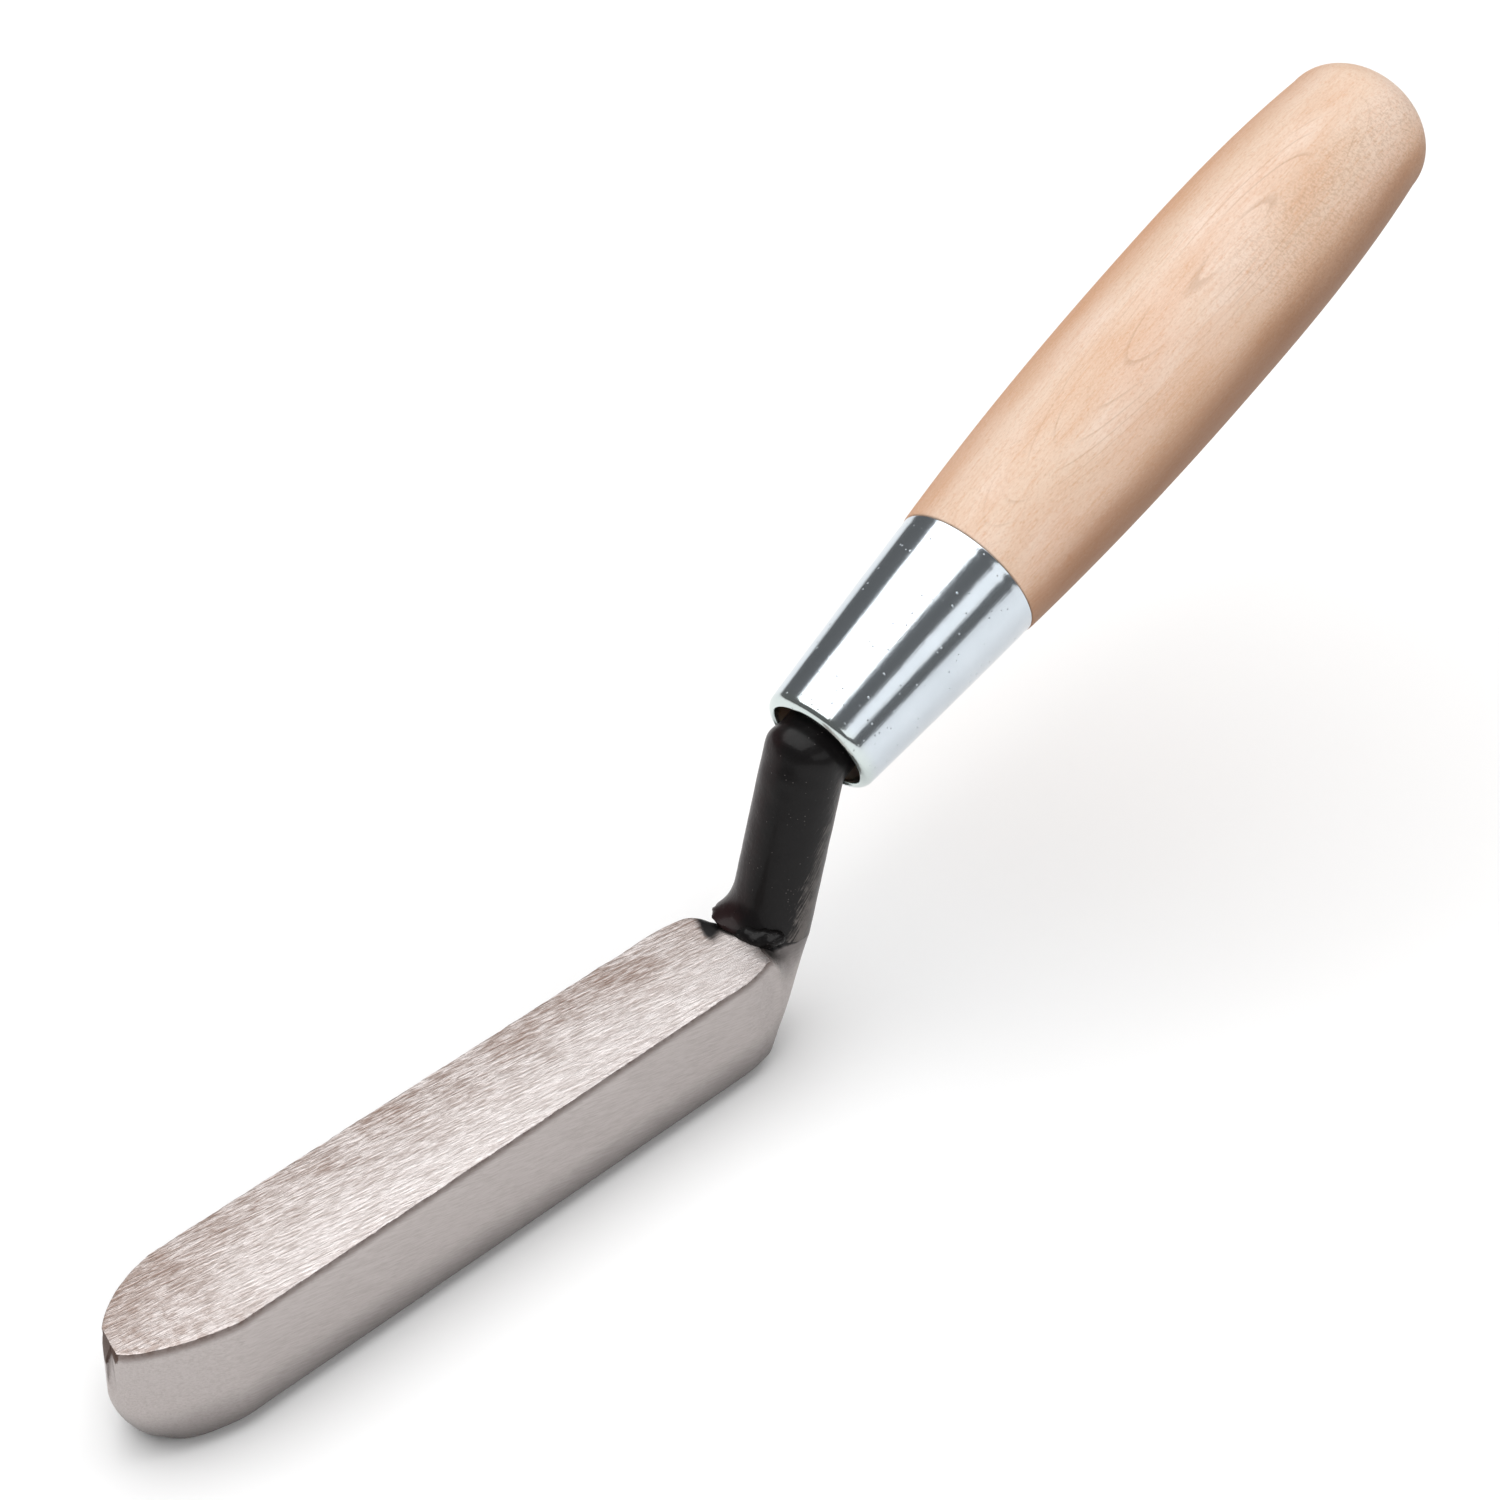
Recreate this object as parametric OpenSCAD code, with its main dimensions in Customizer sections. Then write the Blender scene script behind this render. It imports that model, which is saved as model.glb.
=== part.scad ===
// Round-nosed bar trowel: a solid ground-steel blade, a cranked round shank that is
// welded to its heel, a drawn steel ferrule and a turned wooden handle.
// The origin is the middle of the flat sole. +X runs from the nose to the handle,
// Y is across the blade, and +Z is up, away from the sole.

/* [Blade] */
// Length of the blade from the tip of the nose to the back of the heel
blade_len = 124.5; // [100:0.5:160]
// Width of the blade where the nose begins
blade_w_nose = 19.8; // [16:0.1:25]
// Width of the blade where the heel begins
blade_w_heel = 18.8; // [15.5:0.1:24]
// Depth of the blade from the top face to the sole
blade_h = 20; // [16:0.5:26]
// Length of the nose, seen from above
nose_len = 17.2; // [14:0.2:24]
// Length of the upward sweep of the sole at the nose
sweep_len = 11; // [8:0.5:14]
// Radius of the two long lower edges
edge_r = 4.5; // [2:0.5:6]
// Length over which the heel narrows to the shank
shoulder_len = 9; // [6:0.5:12]
// Distance from the end of the flat sole to the back of the heel
heel_back = 5.2; // [4.4:0.1:6.4]
// Radius of the lower corner of the heel, seen from the side
heel_r = 1.5; // [1:0.5:4]
// How far the back of the heel bulges between its corner and the shank
heel_bulge = 1.2; // [0:0.1:2]

/* [Shank] */
// Diameter of the shank
shank_d = 12.7; // [10:0.1:16]
// Angle of the shank above the sole
shank_angle = 72.7; // [62:0.1:80]
// Length of the shank from its foot to the middle of the crank
shank_len = 27.2; // [22:0.1:40]
// How far the knuckle of the crank stands proud of the shank
knuckle = 0.15; // [0.1:0.05:0.5]
// Distance from the middle of the crank to the mouth of the ferrule
crank_to_mouth = 2.8; // [2:0.1:8]
// Radius of the weld bead at the foot of the shank
bead_r = 1.6; // [1:0.1:2.5]

/* [Tang] */
// Diameter of the tang
tang_d = 8; // [5:0.1:10]
// Length of the tang inside the handle
tang_len = 70; // [40:1:80]

/* [Ferrule] */
// Length of the ferrule
ferrule_len = 36.7; // [25:0.1:45]
// Widening of the ferrule's radius from its mouth to the handle
ferrule_flare = 2.6; // [1:0.1:4]
// Thickness of the ferrule's wall
ferrule_wall = 0.9; // [0.6:0.1:1.4]
// Radius of the turned-in edge at the mouth, which is also its width
lip_r = 1.65; // [1:0.05:2]
// Gap between the shank and the mouth of the ferrule
mouth_gap = 1.8; // [1.2:0.1:2.5]

/* [Handle] */
// Angle of the handle above the sole
handle_angle = 23; // [15:0.5:35]
// Length of the visible wood, from the ferrule to the butt
grip_len = 108; // [90:1:130]
// Largest diameter of the grip
grip_d = 29.4; // [27:0.1:34]
// Diameter of the wood just behind the dome of the butt
butt_d = 24.8; // [21:0.1:27]
// Length of the dome of the butt
dome_len = 9.5; // [6:0.5:14]
// Step of the wood above the rear edge of the ferrule
wood_step = 0.15; // [0:0.05:0.5]

/* [Fits] */
// Clearance between the ferrule and the wood inside it
ferrule_fit = 0.05; // [0:0.05:0.3]
// Clearance around the tang in its bore
tang_fit = 0.1; // [0.05:0.05:0.4]

/* [Hidden] */
$fn = 96;
BIG = 400;

// Points in half a section of the blade: across the top, down the side, round the
// lower edge and across the sole
TOP_N = 5;
SIDE_N = 4;
EDGE_N = 6;
SOLE_N = 3;
HALF_N = TOP_N + SIDE_N + EDGE_N + SOLE_N;
// Sections along the nose and along the heel
NOSE_K = 22;
HEEL_K = 18;
// Part of a quarter turn that the blunt tip of the nose takes off, in degrees
TIP_TURN = 12;
// Powers of the rounded outline of the nose, seen from above. 2 and 2 give an ellipse
NOSE_RUN = 1.4;
NOSE_SPREAD = 1.7;
// Power of the sole's sweep, seen from the side. 2 gives an ellipse
SWEEP_POWER = 2.6;
// Share of the heel's length where its section begins to turn into a circle
ROUND_FROM = 0.35;
// Share of the section's width that the lower edge's radius may take
EDGE_SHARE = 0.92;

shank_r = shank_d / 2;
// Unit vectors along the shank, across it towards the back, and along the handle
shank_dir = [cos(shank_angle), sin(shank_angle)];
shank_back = [sin(shank_angle), -cos(shank_angle)];
handle_dir = [cos(handle_angle), sin(handle_angle)];

// Places along the blade, with the origin in the middle of the flat sole
sole_len = blade_len - sweep_len - heel_back;
heel_x = sole_len / 2;
tip_x = heel_x + heel_back - blade_len;
nose_x = tip_x + nose_len;
heel_start_x = heel_x - shoulder_len / 3;
foot_front = [heel_x + 2 * shoulder_len / 3, blade_h];
foot_centre = foot_front + shank_r * shank_back;
foot_back = foot_front + shank_d * shank_back;
heel_corner = [heel_x + heel_back, 0];

// The crank, where the middle of the shank meets the middle of the handle
crank_point = foot_centre + shank_len * shank_dir;

// The handle's frame starts in the plane of the ferrule's mouth
mouth_point = crank_point + crank_to_mouth * handle_dir;
mouth_r = shank_r + mouth_gap;
ferrule_front_r = mouth_r + lip_r;
ferrule_rear_r = ferrule_front_r + ferrule_flare;
wood_front = lip_r + 3;
wood_rear = ferrule_len + grip_len;
grip_max_at = ferrule_len + 0.51 * grip_len;
tang_start = wood_front + 1;
tang_end = tang_start + tang_len;
tang_neck = shank_r - tang_d / 2;

function mix(a, b, t) = a + (b - a) * t;
function smooth(t) = t * t * (3 - 2 * t);
function clamp01(t) = min(max(t, 0), 1);

// Half of a flat-topped section with rounded lower edges, from the middle of the top
// to the middle of the sole, as [distance across, depth]
function bar_half(w, d, r) = concat(
    [for (k = [0 : TOP_N - 1]) [w * k / TOP_N, 0]],
    [for (k = [0 : SIDE_N - 1]) [w, (d - r) * k / SIDE_N]],
    [for (k = [0 : EDGE_N - 1]) let (a = 90 * k / EDGE_N)
        [w - r + r * cos(a), d - r + r * sin(a)]],
    [for (k = [0 : SOLE_N]) [(w - r) * (1 - k / SOLE_N), d]]
);

// The same number of points round half a circle
function round_half(r) = [for (k = [0 : HALF_N]) let (a = 180 * k / HALF_N)
    [r * sin(a), r - r * cos(a)]];

// A closed ring of points in the plane that holds top, foot and the Y axis. roundness
// turns the flat-topped section into a circle
function ring(top, foot, w, r, roundness) =
    let (
        d = norm(foot - top),
        dir = (foot - top) / d,
        bar = bar_half(w, d, min(r, EDGE_SHARE * w, EDGE_SHARE * d)),
        disc = round_half(d / 2),
        half = [for (k = [0 : HALF_N]) mix(bar[k], disc[k], roundness)]
    )
    concat(
        [for (p = half) [top[0] + dir[0] * p[1], p[0], top[1] + dir[1] * p[1]]],
        [for (k = [HALF_N - 1 : -1 : 1]) let (p = half[k])
            [top[0] + dir[0] * p[1], -p[0], top[1] + dir[1] * p[1]]]
    );

// Height of the sole above the ground at a distance ahead of the nose's start
function sole_rise(ahead) =
    let (e = clamp01((ahead - nose_len + sweep_len) / sweep_len))
    blade_h * (1 - pow(1 - pow(e, SWEEP_POWER), 1 / SWEEP_POWER));

// Section of the nose at a turn from 0 at the tip to 90 where the nose begins
function nose_ring(turn) =
    let (ahead = nose_len * cos(turn), rise = sole_rise(ahead))
    ring(
        [nose_x - ahead, blade_h],
        [nose_x - ahead, rise],
        blade_w_nose / 2 * pow(1 - pow(cos(turn), NOSE_RUN), 1 / NOSE_SPREAD),
        edge_r + rise,
        0
    );

// The underside from the flat sole, round the heel's corner and up to the shank's foot
heel_up = (foot_back - heel_corner) / norm(foot_back - heel_corner);
heel_out = [heel_up[1], -heel_up[0]];
function heel_foot(t) =
    let (
        start = [heel_start_x, 0],
        corner_in = heel_corner - [heel_r, 0],
        corner_out = heel_corner + heel_r * heel_up
    )
    t < 0.3 ? mix(start, corner_in, t / 0.3) :
    t < 0.6 ? let (s = (t - 0.3) / 0.3)
        mix(mix(corner_in, heel_corner, s), mix(heel_corner, corner_out, s), s) :
    let (s = (t - 0.6) / 0.4)
        mix(corner_out, foot_back, s) + 4 * s * (1 - s) * heel_bulge * heel_out;

// Section of the heel, from the end of the bar at 0 to the foot of the shank at 1
function heel_ring(t) =
    let (s = smooth(t), roundness = smooth(clamp01((t - ROUND_FROM) / (1 - ROUND_FROM))))
    ring(
        mix([heel_start_x, blade_h], foot_front, clamp01(t / 0.6)),
        heel_foot(t),
        mix(blade_w_heel / 2, shank_r, s),
        mix(edge_r, shank_r, s),
        roundness
    );

function middle(r) = [for (c = [0 : 2]) ([for (p = r) 1] * [for (p = r) p[c]]) / len(r)];

// A solid skinned over rings of equal size, with a fan of triangles on each end
module skin(rings) {
    n = len(rings[0]);
    last = len(rings) - 1;
    first_mid = len(rings) * n;
    polyhedron(
        points = concat([for (r = rings) for (p = r) p], [middle(rings[0]), middle(rings[last])]),
        faces = concat(
            [for (k = [0 : n - 1]) [first_mid, k, (k + 1) % n]],
            [for (j = [0 : last - 1]) for (k = [0 : n - 1])
                [j * n + k, (j + 1) * n + k, (j + 1) * n + (k + 1) % n]],
            [for (j = [0 : last - 1]) for (k = [0 : n - 1])
                [j * n + k, (j + 1) * n + (k + 1) % n, j * n + (k + 1) % n]],
            [for (k = [0 : n - 1]) [first_mid + 1, last * n + (k + 1) % n, last * n + k]]
        ),
        convexity = 4
    );
}

module blade() {
    color("silver")
    skin(concat(
        [for (k = [0 : NOSE_K]) nose_ring(mix(TIP_TURN, 90, k / NOSE_K))],
        [for (k = [0 : HEEL_K]) heel_ring(k / HEEL_K)]
    ));
}

// Puts a shape drawn along +Z at a point of the side view, pointing along an angle
module along(point, angle) {
    translate([point[0], 0, point[1]]) rotate([0, 90 - angle, 0]) children();
}

// Bead round the front of the foot, on the top face of the blade
module weld_bead() {
    foot_x = foot_front[0] + shank_r / sin(shank_angle);
    half_turn = 70;
    color("dimgray")
    difference() {
        translate([foot_x, 0, blade_h]) rotate([0, 0, 180 - half_turn])
            rotate_extrude(angle = 2 * half_turn)
                translate([shank_r + bead_r / 2, 0]) circle(r = bead_r, $fn = 24);
        along(foot_centre, shank_angle) translate([0, 0, -BIG / 2]) cylinder(h = BIG, r = shank_r);
        translate([-BIG / 2, -BIG / 2, blade_h - BIG]) cube(BIG);
    }
}

// The rod from the foot to the crank, the knuckle, and the rod that thins to the tang
module shank() {
    rod_end = crank_to_mouth + tang_start;
    color("black")
    union() {
        along(foot_centre, shank_angle) cylinder(h = shank_len, r = shank_r);
        translate([crank_point[0], 0, crank_point[1]]) sphere(r = shank_r + knuckle);
        along(crank_point, handle_angle) rotate_extrude() polygon([
            [0, 0],
            [shank_r, 0],
            [shank_r, rod_end],
            [tang_d / 2, rod_end + tang_neck],
            [tang_d / 2, rod_end + tang_len],
            [0, rod_end + tang_len]
        ]);
    }
}

// Drawn cone with its front edge turned in round the mouth
module ferrule() {
    inner_front_r = ferrule_front_r - ferrule_wall;
    inner_rear_r = ferrule_rear_r - ferrule_wall;
    color("gainsboro")
    along(mouth_point, handle_angle)
    rotate_extrude()
    difference() {
        union() {
            polygon([
                [0, lip_r],
                [ferrule_front_r, lip_r],
                [ferrule_rear_r, ferrule_len],
                [0, ferrule_len]
            ]);
            translate([ferrule_front_r - lip_r, lip_r]) circle(r = lip_r);
        }
        square([mouth_r, BIG]);
        polygon([
            [0, lip_r],
            [inner_front_r, lip_r],
            [inner_rear_r, ferrule_len],
            [inner_rear_r, BIG],
            [0, BIG]
        ]);
    }
}

// Radius of the grip at a distance from the mouth of the ferrule
function grip_r(t) =
    let (
        start_r = ferrule_rear_r + wood_step,
        rise = clamp01((t - ferrule_len) / (grip_max_at - ferrule_len)),
        fall = clamp01((t - grip_max_at) / (wood_rear - dome_len - grip_max_at))
    )
    t < grip_max_at ? mix(start_r, grip_d / 2, 1 - pow(1 - rise, 2.2)) :
    mix(grip_d / 2, butt_d / 2, pow(fall, 2.6));

module handle() {
    GRIP_K = 26;
    DOME_K = 10;
    front_r = ferrule_front_r - ferrule_wall - ferrule_fit;
    rear_r = ferrule_rear_r - ferrule_wall - ferrule_fit;
    slope = (rear_r - front_r) / (ferrule_len - lip_r);
    dome_start = wood_rear - dome_len;
    color("burlywood")
    along(mouth_point, handle_angle)
    difference() {
        rotate_extrude()
        polygon(concat(
            [[0, wood_front], [front_r + slope * (wood_front - lip_r), wood_front], [rear_r, ferrule_len]],
            [for (k = [0 : GRIP_K]) let (t = mix(ferrule_len, dome_start, k / GRIP_K)) [grip_r(t), t]],
            [for (k = [1 : DOME_K]) let (a = 90 * k / DOME_K)
                [butt_d / 2 * cos(a), dome_start + dome_len * sin(a)]]
        ));
        cylinder(h = tang_start + tang_neck + 1, r = shank_r + tang_fit);
        cylinder(h = tang_end + 1, r = tang_d / 2 + tang_fit);
    }
}

blade();
weld_bead();
shank();
ferrule();
handle();
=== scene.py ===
"""Round-nosed bar trowel: ground steel blade, welded and painted shank, drawn ferrule, turned grip.

Every length is in metres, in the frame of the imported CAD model. The pieces stand where the CAD
nodes that they replace stand, and all of them ride on the one body, root.
"""

import logging
import math
from dataclasses import dataclass
from enum import Enum
from typing import Any, Callable, NamedTuple, Sequence

import bmesh
import bpy
from mathutils import Matrix, Vector, noise


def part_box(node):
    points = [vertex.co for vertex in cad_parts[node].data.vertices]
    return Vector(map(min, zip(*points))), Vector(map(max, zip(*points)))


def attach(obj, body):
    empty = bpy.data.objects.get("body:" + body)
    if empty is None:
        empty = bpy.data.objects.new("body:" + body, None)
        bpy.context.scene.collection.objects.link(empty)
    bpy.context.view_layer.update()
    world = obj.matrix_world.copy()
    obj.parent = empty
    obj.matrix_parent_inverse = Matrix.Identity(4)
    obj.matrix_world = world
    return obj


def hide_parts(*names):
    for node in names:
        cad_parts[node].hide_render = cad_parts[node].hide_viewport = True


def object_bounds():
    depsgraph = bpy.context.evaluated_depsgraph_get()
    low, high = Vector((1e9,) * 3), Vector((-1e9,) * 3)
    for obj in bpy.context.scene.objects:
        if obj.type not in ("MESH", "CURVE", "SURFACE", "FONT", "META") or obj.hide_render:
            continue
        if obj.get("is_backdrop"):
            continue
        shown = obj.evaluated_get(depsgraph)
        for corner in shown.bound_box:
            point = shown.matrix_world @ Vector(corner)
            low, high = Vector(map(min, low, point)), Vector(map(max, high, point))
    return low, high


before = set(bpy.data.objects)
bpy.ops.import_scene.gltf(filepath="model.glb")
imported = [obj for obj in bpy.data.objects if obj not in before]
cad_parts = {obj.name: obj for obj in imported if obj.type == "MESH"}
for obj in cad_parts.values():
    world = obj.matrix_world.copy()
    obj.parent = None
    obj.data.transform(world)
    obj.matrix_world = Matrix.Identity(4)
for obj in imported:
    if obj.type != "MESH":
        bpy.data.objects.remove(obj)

LOG = logging.getLogger("trowel")
MM = 0.001
ROOT = "root"
CREASE = math.radians(38.0)
MERGED = 1e-7
ACROSS = Vector((0.0, 1.0, 0.0))
UNTURNED = (0.0, 0.0, 0.0)
WHOLE = (MM, MM, MM)
# The steep worn facet at the tip: the way it faces, where its corner is, and how it leans back
FACET_OUT = (-0.933, 0.359, 0.0)
FACET_Y = -2.6 * MM
FACET_SLOPE = 0.36

Ring = list[Vector]
Colour = tuple[float, float, float, float]
Profile = list[tuple[float, float]]


def clamp01(value: float) -> float:
    """Returns the value held between 0 and 1."""
    return min(max(value, 0.0), 1.0)


def between(start: Any, end: Any, share: float) -> Any:
    """Returns the number or point at a share of the way from start to end."""
    return start + (end - start) * share


def ease(share: float) -> float:
    """Returns a share from 0 to 1, slowed at both of its ends."""
    share = clamp01(share)
    return share * share * (3.0 - 2.0 * share)


def unevenness(point: Vector, size: float, seed: float = 0.0) -> float:
    """Returns a smooth number from about -1 to 1 that is always the same at one point."""
    return noise.noise(point / size + Vector((seed, seed * 1.7, -seed)))


def leaning(angle: float) -> Vector:
    """Returns the unit vector in the XZ plane that rises from +X by an angle."""
    return Vector((math.cos(angle), 0.0, math.sin(angle)))


def behind(angle: float) -> Vector:
    """Returns the unit vector square to a rising one, towards the handle."""
    return Vector((math.sin(angle), 0.0, -math.cos(angle)))


class Slot(Enum):
    """The material slots."""

    BLADE = "blade_steel"
    WELD = "weld_paint"
    SHANK = "black_paint"
    FERRULE = "ferrule_plate"
    HANDLE = "handle_wood"


# ---- shared sizes


@dataclass(frozen=True)
class Plan:
    """The places that the pieces share: the top, the tip and the back of the foot are measured from the
    CAD blade's box, the rest are given.
    """

    top_z: float
    tip_x: float
    foot_back_x: float
    shank_r: float = 6.35 * MM
    shank_angle: float = math.radians(72.7)
    shank_len: float = 27.2 * MM
    handle_angle: float = math.radians(23.0)
    crank_to_mouth: float = 2.8 * MM
    tang_start: float = 5.65 * MM
    tang_len: float = 70.0 * MM
    tang_r: float = 4.0 * MM
    ferrule_len: float = 36.7 * MM
    ferrule_front_r: float = 9.8 * MM
    ferrule_rear_r: float = 12.4 * MM
    ferrule_wall: float = 0.9 * MM
    lip_r: float = 1.65 * MM
    mouth_r: float = 8.15 * MM

    @classmethod
    def from_frame(cls) -> "Plan":
        """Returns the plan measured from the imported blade's box."""
        low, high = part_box("blade")
        return cls(top_z=high.z, tip_x=low.x, foot_back_x=high.x)

    @property
    def shank_dir(self) -> Vector:
        """Unit vector up the shank."""
        return leaning(self.shank_angle)

    @property
    def shank_back(self) -> Vector:
        """Unit vector across the shank, towards the handle."""
        return behind(self.shank_angle)

    @property
    def handle_dir(self) -> Vector:
        """Unit vector along the handle."""
        return leaning(self.handle_angle)

    @property
    def foot_front(self) -> Vector:
        """Front of the shank's foot, on the top face of the blade."""
        reach = 2.0 * self.shank_r * math.sin(self.shank_angle)
        return Vector((self.foot_back_x - reach, 0.0, self.top_z))

    @property
    def foot_centre(self) -> Vector:
        """Middle of the shank's foot."""
        return self.foot_front + self.shank_r * self.shank_back

    @property
    def crank(self) -> Vector:
        """The point where the middle of the shank meets the middle of the handle."""
        return self.foot_centre + self.shank_len * self.shank_dir

    @property
    def mouth(self) -> Vector:
        """Middle of the ferrule's mouth, where distances along the handle start."""
        return self.crank + self.crank_to_mouth * self.handle_dir


# ---- mesh helpers


def skin_over(rings: Sequence[Ring]) -> bmesh.types.BMesh:
    """Draws a closed skin from one ring of points to the next.

    Args:
        rings: The rings, in order, each with as many points as the first.

    Returns:
        The mesh, capped at both ends.
    """
    mesh = bmesh.new()
    order = mesh.verts.layers.int.new("order")
    made = bmesh.ops.create_circle(mesh, cap_ends=False, segments=len(rings[0]), radius=1.0)
    verts = list(made["verts"])
    for number, vert in enumerate(verts):
        vert[order] = number
    for number, ring in enumerate(rings):
        if number > 0:
            edges = [mesh.edges.get(pair) for pair in zip(verts, verts[1:] + verts[:1])]
            made = bmesh.ops.extrude_edge_only(mesh, edges=edges)
            copies = [item for item in made["geom"] if isinstance(item, bmesh.types.BMVert)]
            verts = sorted(copies, key=lambda vert: vert[order])
        for vert, point in zip(verts, ring):
            vert.co = point
        if number in (0, len(rings) - 1):
            bmesh.ops.contextual_create(mesh, geom=verts)
    return mesh


# ---- shader helpers


def maths(operation: str, swapped: bool = False) -> Callable[..., "Wire"]:
    """Makes a method that adds a Math node.

    Args:
        operation: The node's operation.
        swapped: Whether the other value comes first.

    Returns:
        The method, on a wire and at most one other value.
    """

    def method(wire: "Wire", *others: "Wire | float") -> "Wire":
        """Returns the node's output."""
        values = (*others, wire) if swapped else (wire, *others)
        return wire.graph.node("ShaderNodeMath", {"operation": operation}, dict(enumerate(values)))

    return method


class Wire:
    """An output socket of a material's nodes that can stand in a sum."""

    def __init__(self, graph: "Graph", socket: bpy.types.NodeSocket) -> None:
        """Wraps the socket of a node in the graph."""
        self.graph = graph
        self.socket = socket

    __add__, __radd__ = maths("ADD"), maths("ADD", swapped=True)
    __sub__, __rsub__ = maths("SUBTRACT"), maths("SUBTRACT", swapped=True)
    __mul__, __rmul__ = maths("MULTIPLY"), maths("MULTIPLY", swapped=True)
    __truediv__ = maths("DIVIDE")
    root = maths("SQRT")
    fraction = maths("FRACT")
    most = maths("MAXIMUM")

    def step(self, low: float, high: float) -> "Wire":
        """Eases from 0 to 1.

        Args:
            low: The value that gives 0.
            high: The value that gives 1. It may be the smaller of the two.

        Returns:
            The eased share.
        """
        if high < low:
            return 1.0 - self.step(high, low)
        settings = {"interpolation_type": "SMOOTHSTEP", "clamp": True}
        inputs = {0: self, 1: low, 2: high, 3: 0.0, 4: 1.0}
        return self.graph.node("ShaderNodeMapRange", settings, inputs)


class Graph:
    """The nodes of one material."""

    def __init__(self, name: str) -> None:
        """Starts a material with nothing but its output."""
        self.material = bpy.data.materials.new(name)
        self.material.use_nodes = True
        self.tree = self.material.node_tree
        self.tree.nodes.clear()
        self._output = self.tree.nodes.new("ShaderNodeOutputMaterial")

    def node(self, kind: str, settings: dict[str, Any], inputs: dict[Any, Any], output: Any = 0) -> Wire:
        """Adds a node.

        Args:
            kind: The node's type.
            settings: Its settings.
            inputs: Values or wires, by the name or number of their socket.
            output: The name or number of the socket that is returned.

        Returns:
            The node's output.
        """
        node = self.tree.nodes.new(kind)
        for name, value in settings.items():
            setattr(node, name, value)
        for key, value in inputs.items():
            if isinstance(value, Wire):
                self.tree.links.new(value.socket, node.inputs[key])
            else:
                node.inputs[key].default_value = value
        return Wire(self, node.outputs[output])

    def where(self) -> Wire:
        """Returns the place on the surface, in the trowel's frame."""
        return self.node("ShaderNodeTexCoord", {}, {}, "Object")

    def place(self, origin: Vector, angle: float) -> Wire:
        """Measures the surface in millimetres in a leaning frame of its own.

        Args:
            origin: Where that frame's middle is.
            angle: The angle of its +Z above the ground, in the XZ plane.

        Returns:
            The place on the surface in that frame.
        """
        lean = (0.0, math.radians(90.0) - angle, 0.0)
        return self.stretch(self.where(), lean, WHOLE, Location=origin)

    def stretch(
        self, where: Wire, turn: Sequence[float], scale: Sequence[float], **more: Vector,
    ) -> Wire:
        """Returns a place turned by angles and divided by a length along each axis."""
        inputs = {"Vector": where, "Rotation": turn, "Scale": scale, **more}
        return self.node("ShaderNodeMapping", {"vector_type": "TEXTURE"}, inputs)

    def split(self, where: Wire) -> tuple[Wire, Wire, Wire]:
        """Returns the three parts of a place."""
        first = self.node("ShaderNodeSeparateXYZ", {}, {0: where})
        parts = first.socket.node.outputs
        return first, Wire(self, parts[1]), Wire(self, parts[2])

    def clouds(
        self, where: Wire, scale: float, detail: float = 2.0, rough: float = 0.5, distort: float = 0.0,
    ) -> Wire:
        """Returns soft noise from 0 to 1, with the given fineness."""
        shape = {"Scale": scale, "Detail": detail, "Roughness": rough, "Distortion": distort}
        return self.node("ShaderNodeTexNoise", {}, {"Vector": where, **shape})

    def grain(
        self, where: Wire, size: Sequence[float], *noise_inputs: float, turn: Sequence[float] = UNTURNED,
    ) -> Wire:
        """Returns soft noise drawn out to a size along each axis of a turned frame."""
        return self.clouds(self.stretch(where, turn, size), 1.0, *noise_inputs)

    def cells(self, where: Wire, scale: float) -> Wire:
        """Returns the distance to the nearest of many scattered points."""
        return self.node("ShaderNodeTexVoronoi", {}, {"Vector": where, "Scale": scale})

    def mix(self, share: Wire | float, first: Wire | Colour, second: Wire | Colour) -> Wire:
        """Returns the colour at a share of the way from the first to the second."""
        settings = {"data_type": "RGBA", "clamp_factor": True}
        return self.node("ShaderNodeMix", settings, {0: share, 6: first, 7: second}, 2)

    def coats(self, colour: Wire | Colour, *layers: tuple[Wire, Wire | Colour]) -> Wire:
        """Returns a colour under layers of (share that shows, colour), from the lowest up."""
        for share, tone in layers:
            colour = self.mix(share, colour, tone)
        return colour

    def bump(
        self, height: Wire, distance: float, strength: float = 1.0, under: Wire | None = None,
    ) -> Wire:
        """Returns the surface's direction over a relief.

        Args:
            height: The relief, from 0 to 1.
            distance: How high 1 stands, in metres.
            strength: How much of it shows.
            under: A coarser relief that this one lies on.

        Returns:
            The direction of the surface.
        """
        inputs: dict[str, Any] = {"Height": height, "Distance": distance, "Strength": strength}
        if under is not None:
            inputs["Normal"] = under
        return self.node("ShaderNodeBump", {}, inputs)

    def surface(self, inputs: dict[str, Any]) -> Wire:
        """Returns a Principled surface with the given sockets."""
        return self.node("ShaderNodeBsdfPrincipled", {}, inputs)

    def layer(self, share: Wire, below: Wire, above: Wire) -> Wire:
        """Returns one surface over another, by the share that it covers."""
        return self.node("ShaderNodeMixShader", {}, {0: share, 1: below, 2: above})

    def finish(self, surface: Wire) -> bpy.types.Material:
        """Joins the surface to the output and returns the material."""
        self.tree.links.new(surface.socket, self._output.inputs["Surface"])
        return self.material


# ---- finishes


@dataclass(frozen=True)
class Finish:
    """What every finish has: its name and the shared plan."""

    name: str
    plan: Plan

    def make(self) -> bpy.types.Material:
        """Returns the material."""
        raise NotImplementedError


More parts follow.
